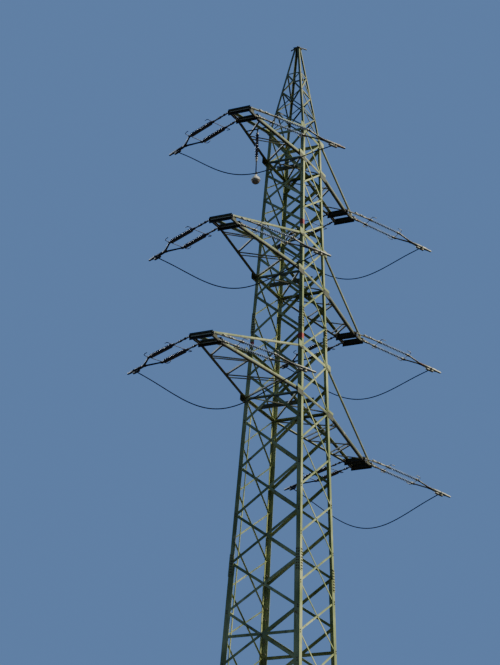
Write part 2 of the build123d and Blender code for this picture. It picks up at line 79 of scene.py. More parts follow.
class Socket:
    """A node's output. Each operator adds a Math node, so that a pattern reads as a sum."""

    def __init__(self, tree, output=None):
        self.tree = tree
        self.output = output

    def node(self, kind, settings, inputs, output=0):
        """A new node: its settings first, then the values or links of its sockets."""
        made = self.tree.nodes.new("ShaderNode" + kind)
        for name, value in settings.items():
            setattr(made, name, value)
        for name, value in inputs.items():
            if isinstance(value, Socket):
                self.tree.links.new(value.output, made.inputs[name])
            else:
                made.inputs[name].default_value = value
        return Socket(self.tree, made.outputs[output])

    def into(self, shader, name):
        """Link this output to one of the shader's sockets."""
        self.tree.links.new(self.output, shader.inputs[name])

    def math(self, operation, first, second):
        """A Math node on two numbers."""
        return self.node("Math", {"operation": operation}, {0: first, 1: second})

    def __add__(self, other):
        return self.math("ADD", self, other)

    def __sub__(self, other):
        return self.math("SUBTRACT", self, other)

    def __rsub__(self, other):
        return self.math("SUBTRACT", other, self)

    def __mul__(self, other):
        return self.math("MULTIPLY", self, other)

    __radd__ = __add__
    __rmul__ = __mul__


def new_material(name):
    """A material with its shader, and a socket to start its patterns from."""
    material = bpy.data.materials.new(name)
    material.use_nodes = True
    tree = material.node_tree
    return material, Socket(tree), tree.nodes["Principled BSDF"]


def noise(place, scale, detail=4.0):
    """A cloudy pattern, about 0.3 to 0.7."""
    inputs = {"Vector": place, "Scale": scale, "Detail": detail, "Roughness": 0.6}
    return place.node("TexNoise", {}, inputs)


def stretched(place, scale):
    """A place whose axes are scaled apart, for runs and streaks."""
    return place.node("Mapping", {}, {"Vector": place, "Scale": scale})


def spread(pattern, low, high):
    """A pattern's share between two values, as a mask from 0 to 1."""
    inputs = {"Value": pattern, "From Min": low, "From Max": high}
    return pattern.node("MapRange", {"interpolation_type": "SMOOTHSTEP"}, inputs)


def blended(mask, under, over):
    """One colour over another where a mask is 1."""
    return mask.node("Mix", {"data_type": "RGBA"}, {0: mask, 6: under, 7: over}, 2)


def bumped(height, distance):
    """A normal from a height pattern in metres."""
    return height.node("Bump", {}, {"Height": height, "Distance": distance, "Strength": 1.0})


def height_of(place):
    """The height part of a place."""
    return place.node("SeparateXYZ", {}, {0: place}, "Z")


def painted_steel(name, rust_start, soil_and_sky_start, bands=(), shade=None):
    """Old grey-green paint: chalked patches, rust that bleeds downward, and pale soiling (painted sky on the
    slot plates).

    Bands are the heights of red rings on it. Shade makes a mask from the place where the paint goes near
    black, mostly painted shade.
    """
    material, tree, shader = new_material(name)
    place = tree.node("TexCoord", {}, {}, "Object")
    patches = noise(place, 0.55, 5.0)
    grain = noise(place, 9.0, 6.0)
    runs = noise(stretched(place, (7.0, 7.0, 0.6)), 1.0, 5.0)
    blisters = noise(place, 2.6, 9.0)
    rust = spread(blisters * 0.7 + runs * 0.3, rust_start, rust_start + 0.09)
    soil_and_sky_mask = spread(noise(stretched(place, (3.2, 3.2, 1.4)), 1.0, 7.0), soil_and_sky_start, soil_and_sky_start + 0.10)
    colour = blended(spread(patches, 0.38, 0.62), paint_green, paint_pale)
    colour = blended(spread(runs, 0.50, 0.72) * 0.55, colour, paint_dark)
    colour = blended(soil_and_sky_mask * 0.75, colour, sky_and_soil_white)
    colour = blended(rust * 0.85, colour, rust_brown)
    for low in bands:
        rise = height_of(place) + runs * 0.02
        ring = spread(rise, low, low + 0.01) * (1 - spread(rise, low + band_height, low + band_height + 0.01))
        colour = blended(ring * 0.9, colour, band_red)
    if shade:
        # The shade mask darkens the paint towards near black; on most finishes this is painted shade.
        colour = blended(shade(place), colour, iron_dark)
    colour.into(shader, "Base Color")
    (0.52 + grain * 0.18 + rust * 0.2).into(shader, "Roughness")
    bumped(grain + rust * 0.6, 0.002).into(shader, "Normal")
    shader.inputs["Specular IOR Level"].default_value = 0.35
    return material


def dress(names, material):
    """Give CAD nodes a finish."""
    for name in names:
        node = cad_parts[name]
        node.data.materials.clear()
        node.data.materials.append(material)


def finish_piece(name, mesh_builder, material):
    """Turn a bmesh into a piece of the tower that rides with it."""
    mesh = bpy.data.meshes.new(name)
    mesh_builder.to_mesh(mesh)
    mesh_builder.free()
    mesh.materials.append(material)
    piece = bpy.data.objects.new(name, mesh)
    bpy.context.scene.collection.objects.link(piece)
    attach(piece, "root")
    return piece


def half_width(base_half, z):
    """Half width of the tower at a height."""
    if z <= waist_height:
        return base_half * (1 - z / apex_height)
    waist_half = base_half * (1 - waist_height / apex_height)
    share = (z - waist_height) / (top_height - waist_height)
    return waist_half + (peak_top_half - waist_half) * share


def heel(sx, sy, z):
    """Point on a leg's outer corner line."""
    return Vector((sx * half_width(base_half_x, z), sy * half_width(base_half_y, z), z))


def leg_section(z):
    """Flange width and wall of the leg angle at a height."""
    for top, flange, wall in leg_flanges:
        if z <= top:
            return flange, wall
    return 0.075, 0.008


def facing(direction, at):
    """Matrix that turns +Z to a direction and moves the origin to a point."""
    turn = Vector(direction).to_track_quat("Z", "Y").to_matrix().to_4x4()
    return Matrix.Translation(at) @ turn


def add_bolt(builder, at, direction, across=bolt_across, height=bolt_height):
    """A hexagon head on a round washer, its seat at a point."""
    size = across / sqrt(3)
    washer = facing(direction, Vector(at) + Vector(direction) * (washer_height / 2))
    bmesh.ops.create_cone(builder, cap_ends=True, segments=8, radius1=size * 1.25,
                          radius2=size * 1.2, depth=washer_height, matrix=washer)
    head = facing(direction, Vector(at) + Vector(direction) * (washer_height + height / 2))
    bmesh.ops.create_cone(builder, cap_ends=True, segments=6, radius1=size,
                          radius2=size * 0.92, depth=height, matrix=head)


def peak_darkening(place):
    """Mask that darkens the peak, more and more from the upper arms up to the cap."""
    return spread(height_of(place) + noise(place, 2.5) * 2.0, waist_height, waist_height + 2.0) * 0.50


for name in ("leg_south_west", "leg_south_east", "leg_north_west", "leg_north_east"):
    dress([name], painted_steel(f"{name}_paint", 0.590, 0.640, band_rises.get(name, ()), peak_darkening))
leg_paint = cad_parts["leg_south_east"].data.materials[0]


def bolt_iron():
    """Bolt heads: rusted nearly black, with a little of the paint left."""
    material, tree, shader = new_material("bolt_iron")
    place = tree.node("TexCoord", {}, {}, "Object")
    worn = spread(noise(place, 14.0, 5.0), 0.44, 0.66)
    blended(worn * 0.6, bolt_grey, rust_brown).into(shader, "Base Color")
    (0.6 + noise(place, 60.0, 3.0) * 0.25).into(shader, "Roughness")
    return material


bolt_steel = bolt_iron()
corners = [(sx, sy) for sx in (-1, 1) for sy in (-1, 1)]
builder = bmesh.new()
for sx, sy in corners:
    for height in splice_heights:
        flange = leg_section(height + splice_length / 2)[0]
        for row in range(splice_rows):
            share = row / (splice_rows - 1)
            z = height - splice_length / 2 + splice_margin + (splice_length - 2 * splice_margin) * share
            for inset in splice_insets:
                corner = heel(sx, sy, z)
                reach = (flange + splice_wall) * inset
                on_x = corner + Vector((sx * splice_wall, -sy * reach, 0))
                on_y = corner + Vector((-sx * reach, sy * splice_wall, 0))
                add_bolt(builder, on_x, Vector((sx, 0, 0)))
                add_bolt(builder, on_y, Vector((0, sy, 0)))
finish_piece("splice_bolts", builder, bolt_steel)

# The step bolts. Plain round studs with a head, screwed through the north-east leg's flanges by
# turns for climbing.
step_bolt_count = 34
step_bolt_bottom = 2.5
step_bolt_pitch = 0.760
step_bolt_length = 0.170
step_bolt_radius = 0.010
step_bolt_share = 0.55
builder = bmesh.new()
for step in range(step_bolt_count):
    z = step_bolt_bottom + step * step_bolt_pitch / 2
    flange = leg_section(z)[0]
    turned = step % 2 == 0
    reach = flange * step_bolt_share
    at = heel(1, 1, z) - (Vector((reach, 0, 0)) if turned else Vector((0, reach, 0)))
    inward = Vector((0, -1, 0)) if turned else Vector((-1, 0, 0))
    stud = facing(inward, at + inward * (step_bolt_length / 2))
    bmesh.ops.create_cone(builder, cap_ends=True, segments=8, radius1=step_bolt_radius,
                          radius2=step_bolt_radius, depth=step_bolt_length, matrix=stud)
    add_bolt(builder, at + inward * (step_bolt_length - 0.008), inward, 0.036, 0.008)
    add_bolt(builder, at + inward * (leg_section(z)[1] - 0.001), inward, 0.034, 0.014)
finish_piece("step_bolts", builder, bolt_steel)

# The feet. Four anchor bolts with nuts stand in each base plate, and welded ribs stiffen it on the
# two outer faces of the leg.
foot_inset = 0.1
anchor_length = 0.090
anchor_nut_across = 0.062
anchor_nut_height = 0.034
rib_asides = (0.055, 0.150)
rib_reach = 0.105
rib_top_reach = 0.020
rib_lip = Vector((0, 0, 0.025))
rib_rise = Vector((0, 0, 0.210))
rib_wall = 0.012
rib_sink = 0.002
builder = bmesh.new()
for sx, sy in corners:
    middle = heel(sx, sy, 0) - Vector((sx * foot_inset, sy * foot_inset, 0))
    for step_x in (-0.5, 0.5):
        for step_y in (-0.5, 0.5):
            at = middle + Vector((step_x * anchor_spacing, step_y * anchor_spacing, foot_thickness))
            stud = Matrix.Translation(at + Vector((0, 0, anchor_length / 2)))
            bmesh.ops.create_cone(builder, cap_ends=True, segments=10, radius1=0.019, radius2=0.017,
                                  depth=anchor_length, matrix=stud)
            add_bolt(builder, at, Vector((0, 0, 1)), anchor_nut_across, anchor_nut_height)
    for direction in (Vector((sx, 0, 0)), Vector((0, sy, 0))):
        across = Vector((0, 0, 1)).cross(direction)
        foot = heel(sx, sy, foot_thickness)
        for aside in rib_asides:
            inward = Vector((-sx, 0, 0)) if abs(direction.y) > 0 else Vector((0, -sy, 0))
            seat = foot + inward * aside
            profile = [builder.verts.new(seat + step) for step in (
                Vector((0, 0, 0)), direction * rib_reach, direction * rib_reach + rib_lip,
                direction * rib_top_reach + rib_rise, rib_rise)]
            for vert in profile:
                vert.co.z -= rib_sink
            plate = builder.faces.new(profile)
            grown = bmesh.ops.extrude_face_region(builder, geom=[plate])
            moved = [item for item in grown["geom"] if isinstance(item, bmesh.types.BMVert)]
            bmesh.ops.translate(builder, verts=moved, vec=across * rib_wall)
bmesh.ops.recalc_face_normals(builder, faces=builder.faces)
finish_piece("anchor_bolts_and_ribs", builder, bolt_steel)

# The braced sides. Single angles cross between the legs, heavier on the east and west sides, and
# level rings tie them at the arms. Every end and every crossing is bolted.
arm_heights = (20.500, 25.020, 29.540)
tie_heights = (22.200, 26.500, 30.760)
panel_pitch = 1.650
even_bottom = arm_heights[0] - 5 * panel_pitch
thin_foot_level = 1.200
thick_foot_level = 0.250
thick_top_gap = 0.150
foot_pitch = (even_bottom - thin_foot_level) / 6
waist_joint = waist_height - 0.080
thin_levels = [thin_foot_level + foot_pitch * i for i in range(6)]
thin_levels += [even_bottom + panel_pitch * i for i in range(5)]
thin_levels += [arm_heights[0], tie_heights[0]]
thin_levels += [(tie_heights[0] + arm_heights[1]) / 2, arm_heights[1], tie_heights[1]]
thin_levels += [tie_heights[1] + (arm_heights[2] - tie_heights[1]) * i / 3 for i in (1, 2)]
thin_levels += [arm_heights[2], waist_joint]
thick_levels = [thick_foot_level]
thick_levels += [(low + high) / 2 for low, high in zip(thin_levels, thin_levels[1:-1])]
thick_levels += [waist_joint - thick_top_gap]
thick_inset = 0.060
thin_inset = 0.045
side_bolt_aside = 0.0096
side_bolt_rise = 0.0384


def ring_shade(place):
    """Mask of painted shade on the lower half of the level rings at the arms."""
    ring_shade_sum = 0
    for height in arm_heights:
        # Painted shade on each ring's lower half.
        above = spread(height_of(place), height - 0.110, height - 0.100)
        ring_shade_sum += above * (1 - spread(height_of(place), height + 0.005, height + 0.015)) * 0.80
    return ring_shade_sum


side_paint = painted_steel("side_paint", 0.585, 0.630, shade=ring_shade)
dress(["side_west", "side_east", "side_south", "side_north"], side_paint)


def outward_of(sx, sy):
    """Outward direction of a side of the body."""
    lean = (base_half_x if sx else base_half_y) / apex_height
    return Vector((sx, sy, lean)).normalized()


def add_side_bolts(builder, sx, sy, levels, inset):
    """Two bolts at each bar end and one at each crossing of a side."""
    outward = outward_of(sx, sy)
    half_base = base_half_y if sx else base_half_x
    for z in levels:
        for turn in (-1, 1):
            corner = heel(sx if sx else turn, sy if sy else turn, z)
            inward = Vector((0, -turn, 0)) if sx else Vector((-turn, 0, 0))
            for rise in (-side_bolt_rise, side_bolt_rise):
                at = corner + inward * (inset + side_bolt_aside) + Vector((0, 0, rise))
                add_bolt(builder, at, outward)
    for low, high in zip(levels, levels[1:]):
        low_u = half_width(half_base, low) - inset
        high_u = half_width(half_base, high) - inset
        z = low + (high - low) * low_u / (low_u + high_u)
        wall = leg_section(low)[1]
        half = half_width(base_half_x if sx else base_half_y, z)
        at = Vector((sx * half, sy * half, z)) - outward * wall
        add_bolt(builder, at, outward)


for name, sx, sy, levels, inset in (
    ("side_bolts_west", -1, 0, thick_levels, thick_inset),
    ("side_bolts_east", 1, 0, thick_levels, thick_inset),
    ("side_bolts_south", 0, -1, thin_levels, thin_inset),
    ("side_bolts_north", 0, 1, thin_levels, thin_inset),
):
    builder = bmesh.new()
    add_side_bolts(builder, sx, sy, levels, inset)
    finish_piece(name, builder, bolt_steel)

# The peak. Light angles brace the last few metres, and a plate closes the four legs. It carries a
# lug with two compression clamps.
peak_paint = painted_steel("peak_paint", 0.560, 0.600, shade=peak_darkening)
dress(["peak_bracing"], peak_paint)
peak_levels = (waist_height + 0.060, 31.695, 32.520, 33.300)
peak_lean = 0.08
peak_bolt_inset = 0.034
peak_bolt_across = 0.030
peak_bolt_height = 0.012
builder = bmesh.new()
for z in peak_levels:
    for sx, sy in corners:
        corner = heel(sx, sy, z)
        for aside, outward in (
            (Vector((-sx * peak_bolt_inset, 0, 0)), Vector((0, sy, peak_lean))),
            (Vector((0, -sy * peak_bolt_inset, 0)), Vector((sx, 0, peak_lean))),
        ):
            add_bolt(builder, corner + aside, outward.normalized(), peak_bolt_across, peak_bolt_height)
finish_piece("peak_bolts", builder, bolt_steel)

# The plan bracing. Inside the body, at each pair of arms, two crossing angles and a channel across
# the middle are seated on the level ring. Their paint is darkened nearly black, as painted shade.
level_names = ("lower", "middle", "upper")


def sheltered_shade(place):
    """Mask of painted shade, in patches that cover nearly all of a bar."""
    return spread(noise(place, 2.0), 0.25, 0.50) * 0.85


plan_paint = painted_steel("plan_paint", 0.560, 0.620, shade=sheltered_shade)
dress([f"plan_bracing_{level}" for level in level_names], plan_paint)

# The arms. Two angles run from the legs to the tip, laced in zigzag, with light struts between, and
# two lipped cross beams at the tip carry the strings. Two ties above each arm hold up its tip, which
# is painted darkest of the tower, partly as dirt and partly as painted shade.
sides = ((-1, "west"), (1, "east"))
arm_reaches = (5.660, 4.685, 3.675)
arm_tip_half = 0.335
chord_width = 0.100
chord_wall = 0.010
gusset_wall = 0.012
lace_counts = (5, 4, 3)
lace_step_ratio = 0.88
beam_half_length = 0.390
beam_width = 0.080
beam_offsets = (0.170, 0.790)
beam_overhang = 0.02
beam_lip = 0.055
beam_leaf_up = 0.078
beam_leaf_down = 0.085
beam_wall = 0.007
slot_low = 0.010
slot_high = 0.082
slot_margin = 0.03
slot_edge = 0.004
slot_wall = 0.003
strut_flange = 0.042
strut_wall = 0.005
strut_rise = 0.012
strut_shift = 0.30
tie_root_gap = 0.040
tie_end_offset = 0.690
tie_end_rise = 0.170


def add_angle(builder, start, end, first, second, wall):
    """An angle bar from point to point. Its two flanges are given as steps from the heel."""
    near_first = first.normalized() * wall
    near_second = second.normalized() * wall
    steps = [Vector((0, 0, 0)), first, first + near_second]
    steps += [near_first + near_second, near_first + second, second]
    section = builder.faces.new([builder.verts.new(start + step) for step in steps])
    grown = bmesh.ops.extrude_face_region(builder, geom=[section])
    moved = [item for item in grown["geom"] if isinstance(item, bmesh.types.BMVert)]
    bmesh.ops.translate(builder, verts=moved, vec=end - start)


def arm_floor(level):
    """Height of the underside of an arm's frame."""
    return arm_heights[level] - chord_wall / 2


def chord_y(level, x):
    """Distance of an arm's chord from the arm's middle."""
    z = arm_heights[level]
    root = half_width(base_half_y, z) - chord_width / 2 + gusset_wall / 2
    half = half_width(base_half_x, z)
    return root + (arm_tip_half - root) * (x - half) / (arm_reaches[level] - half)


def lace_points(level):
    """Distances along X of the joints of an arm's lacing."""
    start = half_width(base_half_x, arm_heights[level]) + chord_width / 2
    end = arm_reaches[level] - chord_width / 2
    steps = [lace_step_ratio ** i for i in range(lace_counts[level])]
    return [start + (end - start) * sum(steps[:i]) / sum(steps) for i in range(len(steps) + 1)]


def apart(place):
    """Distance of a place from the tower's middle, along the arms."""
    across = place.node("SeparateXYZ", {}, {0: place}, "X")
    return place.node("Math", {"operation": "ABSOLUTE"}, {0: across})


def eastern(place):
    """Mask of the east arms, where the painted shade reaches higher on the undersides and ties."""
    return spread(place.node("SeparateXYZ", {}, {0: place}, "X"), -0.1, 0.1)


def arm_dirt_and_shade(level):
    """Mask where an arm is darkened: all over its tip, as dirt and painted shade, and on the underside as
    painted shade.
    """
    reach = arm_reaches[level]
    floor_z = arm_floor(level)

    def mask(place):
        out = apart(place) + noise(place, 3.0) * 0.3 - 0.15
        # The tip is darkened as dirt and as painted shade.
        tip = spread(out, reach - 0.15, reach + 0.10)
        # Painted shade along the underside, reaching higher on the east arms.
        rise = height_of(place) - eastern(place) * 0.030
        under = 1 - spread(rise, floor_z + 0.040, floor_z + 0.050)
        return tip * 0.88 + under * 0.85

    return mask


def tie_shade(level):
    """Mask of painted shade on a tie's lower half."""
    tie = tie_heights[level]
    start = half_width(base_half_x, tie) + tie_root_gap
    slope = (arm_heights[level] + tie_end_rise - tie) / (arm_reaches[level] + tie_end_offset - start)

    def mask(place):
        rise = height_of(place) - (apart(place) - start) * slope - eastern(place) * 0.026
        return (1 - spread(rise, tie - 0.054, tie - 0.046)) * 0.85

    return mask


# The slot plates' paint is pale soiling all over, which paints the bright sky seen through the slots.
sky_slot_paint = painted_steel("sky_slot_paint", 0.620, 0.300)
for level, level_name in enumerate(level_names):
    arm_paint = painted_steel(f"arm_paint_{level_name}", 0.565, 0.600, shade=arm_dirt_and_shade(level))
    tie_paint = painted_steel(f"tie_paint_{level_name}", 0.600, 0.640, shade=tie_shade(level))
    dress([f"arm_ties_{level_name}"], tie_paint)
    floor_z = arm_floor(level)
    points = lace_points(level)
    for sx, side_name in sides:
        dress([f"{side_name}_arm_{level_name}"], arm_paint)
        builder = bmesh.new()
        slots = bmesh.new()
        struts = bmesh.new()
        for offset in beam_offsets:
            face = sx * (arm_reaches[level] + offset + beam_width / 2)
            lip = Vector((sx * beam_lip, 0, 0))
            for rise, leaf in ((slot_high, beam_leaf_up), (slot_low, -beam_leaf_down)):
                start = Vector((face, -beam_half_length - beam_overhang, floor_z + rise))
                end = Vector((face, beam_half_length + beam_overhang, floor_z + rise))
                add_angle(builder, start, end, lip, Vector((0, 0, leaf)), beam_wall)
            # A pale plate fills each slot, painted as the sky seen through it.
            start = Vector((face, -beam_half_length + slot_margin, floor_z + slot_low))
            end = Vector((face, beam_half_length - slot_margin, floor_z + slot_low))
            plate = Vector((0, 0, slot_high - slot_low))
            edge = Vector((sx * slot_edge, 0, 0))
            add_angle(slots, start, end, plate, edge, slot_wall)
        for i in range(1, len(points) - 1, 2):
            shift = (points[i + 1] - points[i]) * strut_shift
            near, far = points[i] - shift, points[i + 1] - shift
            start = Vector((sx * near, -chord_y(level, near), floor_z + strut_rise))
            end = Vector((sx * far, chord_y(level, far), floor_z + strut_rise))
            flat = Vector((sx * strut_flange, 0, 0))
            upright = Vector((0, 0, strut_flange))
            add_angle(struts, start, end, flat, upright, strut_wall)
        for piece_name, mesh_builder, finish in (
            ("tip_beams", builder, arm_paint),
            ("tip_slots", slots, sky_slot_paint),
            ("arm_struts", struts, plan_paint),
        ):
            bmesh.ops.recalc_face_normals(mesh_builder, faces=mesh_builder.faces)
            finish_piece(f"{side_name}_{piece_name}_{level_name}", mesh_builder, finish)

# The climbing rail. A flat safety rail on short brackets runs up inside the north face, beside the
# north-west leg. It has a leg's paint.
dress(["climbing_rail"], leg_paint)

# The dead-end strings. Two insulators lie side by side in each, with a row of sheds between iron
# caps: brown glazed porcelain on the north side, and a thin grey-blue polymer on the south side.
north_azimuth = radians(66)
north_drop = radians(3)
south_azimuth = radians(-42)
south_drops = {-1: radians(10), 1: radians(14)}
eye_radius = 0.036
seat_clearance = 0.0003
beam_height = 0.140
eye_half = 0.310
insulator_start = 0.700
insulator_end = 1.940
cap_length = 0.090
cap_radius = 0.046
cap_lap = 0.02
porcelain_sheds = {"core": 0.036, "shed": 0.074, "count": 20, "thin": 0.16, "flare": 0.44}
polymer_sheds = {"core": 0.021, "shed": 0.058, "count": 17, "thin": 0.09, "flare": 0.16}
glaze_brown = (0.022, 0.011, 0.008, 1)
glaze_dark = (0.008, 0.006, 0.006, 1)
glaze_dust = (0.110, 0.095, 0.075, 1)
polymer_pale = (0.200, 0.250, 0.310, 1)
polymer_dull = (0.110, 0.140, 0.180, 1)


def string_frame(sx, sy, level):
    """Matrix of a string: x runs out along it, y across its two insulators, z up from them."""
    azimuth = north_azimuth if sy > 0 else south_azimuth
    drop = north_drop if sy > 0 else south_drops[sx]
    outward = Vector((cos(azimuth) * cos(drop), sin(azimuth) * cos(drop), -sin(drop)))
    across = Vector((-sin(azimuth), cos(azimuth), 0))
    upward = outward.cross(across)
    middle = Vector((
        sx * (arm_reaches[level] + sum(beam_offsets) / 2),
        sy * (beam_half_length + seat_clearance + eye_radius),
        arm_floor(level) + beam_height / 2,
    ))
    turn = Matrix((outward, across, upward)).transposed().to_4x4()
    return Matrix.Translation(middle) @ turn


def glazed_porcelain():
    """Dark brown glaze, a little uneven, with dust on it."""
    material, tree, shader = new_material("brown_glaze")
    place = tree.node("TexCoord", {}, {}, "Object")
    clouds = noise(place, 6.0, 4.0)
    dust = spread(noise(place, 24.0, 6.0), 0.50, 0.75)
    colour = blended(spread(clouds, 0.40, 0.62), glaze_brown, glaze_dark)
    colour = blended(dust * 0.35, colour, glaze_dust)
    colour.into(shader, "Base Color")
    (0.22 + dust * 0.3).into(shader, "Roughness")
    shader.inputs["Coat Weight"].default_value = 0.4
    return material


def weathered_polymer():
    """Matt silicone rubber, grey-blue, chalky where it has aged."""
    material, tree, shader = new_material("weathered_polymer")
    place = tree.node("TexCoord", {}, {}, "Object")
    chalk = spread(noise(place, 5.0, 6.0), 0.36, 0.64)
    grain = noise(place, 50.0, 3.0)
    blended(chalk, polymer_dull, polymer_pale).into(shader, "Base Color")
    (0.55 + grain * 0.25).into(shader, "Roughness")
    bumped(grain, 0.0006).into(shader, "Normal")
    return material


def insulator_profile(start, end, sheds):
    """Outline of an insulator from cap to cap: distance along it, and radius."""
    first = start + cap_length
    pitch = (end - start - 2 * cap_length) / sheds["count"]
    outline = [(first - cap_lap, sheds["core"])]
    for i in range(sheds["count"]):
        low = first + pitch * (i + 0.25)
        outline.append((low, sheds["core"]))
        outline.append((low + pitch * 0.08, sheds["shed"]))
        outline.append((low + pitch * (0.08 + sheds["thin"]), sheds["shed"]))
        outline.append((low + pitch * (0.12 + sheds["thin"] + sheds["flare"]), sheds["core"]))
    outline.append((end - cap_length + cap_lap, sheds["core"]))
    return outline


def cap_profile(start, end):
    """Outline of an iron cap, closed at its outer end and open towards the porcelain."""
    turn = 1 if end > start else -1
    return [
        (start, 0.0),
        (start, cap_radius * 0.62),
        (start + turn * 0.022, cap_radius * 0.94),
        (end - turn * 0.016, cap_radius),
        (end, cap_radius * 0.92),
        (end - turn * cap_lap, 0.018),
    ]


def spin_profile(builder, outline, place, segments):
    """Turn an outline round its own x axis into a closed skin, and put it in place."""
    verts = [builder.verts.new((x, radius, 0)) for x, radius in outline]
    edges = [builder.edges.new(pair) for pair in zip(verts, verts[1:])]
    spun = bmesh.ops.spin(builder, geom=verts + edges, cent=(0, 0, 0), axis=(1, 0, 0),
                          angle=2 * pi, steps=segments, use_merge=True)
    new = set(verts) | {item for item in spun["geom_last"] if isinstance(item, bmesh.types.BMVert)}
    reached = list(new)
    while reached:
        for edge in reached.pop().link_edges:
            for vert in edge.verts:
                if vert not in new:
                    new.add(vert)
                    reached.append(vert)
    bmesh.ops.transform(builder, matrix=place, verts=list(new))


def add_caps(builder, place, start, end):
    """The iron caps of an insulator that reaches from start to end."""
    spin_profile(builder, cap_profile(start, start + cap_length), place, 12)
    spin_profile(builder, cap_profile(end, end - cap_length), place, 12)


def tidy_turned(builder):
    """Close the poles and seams of turned shapes, shade them smooth and face them outwards."""
    bmesh.ops.remove_doubles(builder, verts=builder.verts, dist=0.00005)
    bmesh.ops.recalc_face_normals(builder, faces=builder.faces)
    for face in builder.faces:
        face.smooth = True


porcelain = glazed_porcelain()
polymer = weathered_polymer()
for sx, side_name in sides:
    for level, level_name in enumerate(level_names):
        for sy, kind, sheds, finish in (
            (1, "porcelain", porcelain_sheds, porcelain),
            (-1, "polymer", polymer_sheds, polymer),
        ):
            builder = bmesh.new()
            place = string_frame(sx, sy, level)
            for side in (-1, 1):
                aside = Matrix.Translation((0, side * eye_half * place.col[1].x, 0))
                outline = insulator_profile(insulator_start, insulator_end, sheds)
                spin_profile(builder, outline, place @ aside, 12)
            tidy_turned(builder)
            piece = finish_piece(f"{side_name}_{kind}_{level_name}", builder, finish)
            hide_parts(f"{side_name}_insulators_{level_name}")

# The strings' metalwork. Forged links, V-shaped yokes and compression clamps of galvanised steel,
# painted dark as shade on the north side, with horns at both ends of each pair of insulators.
steel_pale = (0.230, 0.228, 0.165, 1)
steel_grey = (0.095, 0.095, 0.070, 1)
steel_dark = (0.014, 0.015, 0.018, 1)
link_start = 0.05
link_middle = 0.35
link_lap = 0.01
seat_link = (0.040, 0.026)
cap_link = (0.036, 0.024)
yoke_arm = (0.038, 0.026)
yoke_neck = (0.046, 0.040)
yoke_apex = 2.560
clamp_start = 2.640
clamp_waist = 3.230
clamp_end = 3.420
lug_distance = 2.950
lug_drop = 0.080
horn_radius = 0.013
horn_reach = 0.240


def galvanised(name, rust_start, pale, grey):
    """Dull zinc in two tones on the sunny south side, and painted nearly black as shade on the north side."""
    material, tree, shader = new_material(name)
    place = tree.node("TexCoord", {}, {}, "Object")
    clouds = noise(place, 5.0, 6.0)
    grain = noise(place, 40.0, 4.0)
    rust = spread(noise(place, 3.0, 8.0), rust_start, rust_start + 0.10)
    north = spread(place.node("SeparateXYZ", {}, {0: place}, "Y"), -0.3, 0.3)
    colour = blended(spread(clouds, 0.38, 0.62), pale, grey)
    # Painted shade: the north side goes near black.
    colour = blended(north, colour, steel_dark)
    colour = blended(rust * 0.6 * (1 - north), colour, rust_brown)
    colour.into(shader, "Base Color")
    (0.42 + grain * 0.25 + rust * 0.15).into(shader, "Roughness")
    bumped(grain, 0.0008).into(shader, "Normal")
    shader.inputs["Metallic"].default_value = 0.35
    return material


def aimed(start, end):
    """Matrix that lays +X from one point towards another."""
    turn = (end - start).to_track_quat("X", "Z").to_matrix().to_4x4()
    return Matrix.Translation(start) @ turn


def add_link(builder, place, start, end, thick, thin):
    """A forged link from point to point, thick at the clevis of each end."""
    length = (end - start).length
    outline = [(0, 0), (0.006, thick), (0.075, thick), (0.100, thin), (length - 0.100, thin),
               (length - 0.075, thick), (length - 0.006, thick), (length, 0)]
    spin_profile(builder, outline, place @ aimed(start, end), 8)


def add_clamp(builder, place):
    """A compression clamp, with a flag and bolts for the jumper."""
    outline = [(clamp_start, 0), (clamp_start + 0.01, 0.040), (clamp_start + 0.05, 0.052),
               (clamp_waist - 0.04, 0.052), (clamp_waist, 0.040), (clamp_end - 0.03, 0.037),
               (clamp_end, 0.020), (clamp_end, 0)]
    spin_profile(builder, outline, place, 12)
    flag = [(lug_distance - 0.16, 0), (lug_distance - 0.16, 0.030), (lug_distance - 0.12, 0.044),
            (lug_distance + 0.15, 0.044), (lug_distance + 0.17, 0.020), (lug_distance + 0.17, 0)]
    spin_profile(builder, flag, place @ Matrix.Translation((0, 0, -lug_drop)), 10)
    for distance in (lug_distance + 0.02, lug_distance + 0.10):
        for side in (-1, 1):
            at = place @ Vector((distance, side * 0.025, -0.045))
            add_bolt(builder, at, (place.col[1].to_3d() * side).normalized(), 0.036, 0.022)


def new_wire(name, radius, resolution, material):
    """A round wire with closed ends, still without a route."""
    curve = bpy.data.curves.new(name, "CURVE")
    curve.dimensions = "3D"
    curve.bevel_depth = radius
    curve.bevel_resolution = resolution
    curve.use_fill_caps = True
    curve.materials.append(material)
    return curve


def add_route(curve, points, resolution):
    """A smooth line for a wire, drawn along points from the first to the last."""
    spline = curve.splines.new("NURBS")
    spline.points.add(len(points) - 1)
    for control, point in zip(spline.points, points):
        control.co = (*point, 1)
    spline.order_u = 3
    spline.use_endpoint_u = True
    spline.resolution_u = resolution


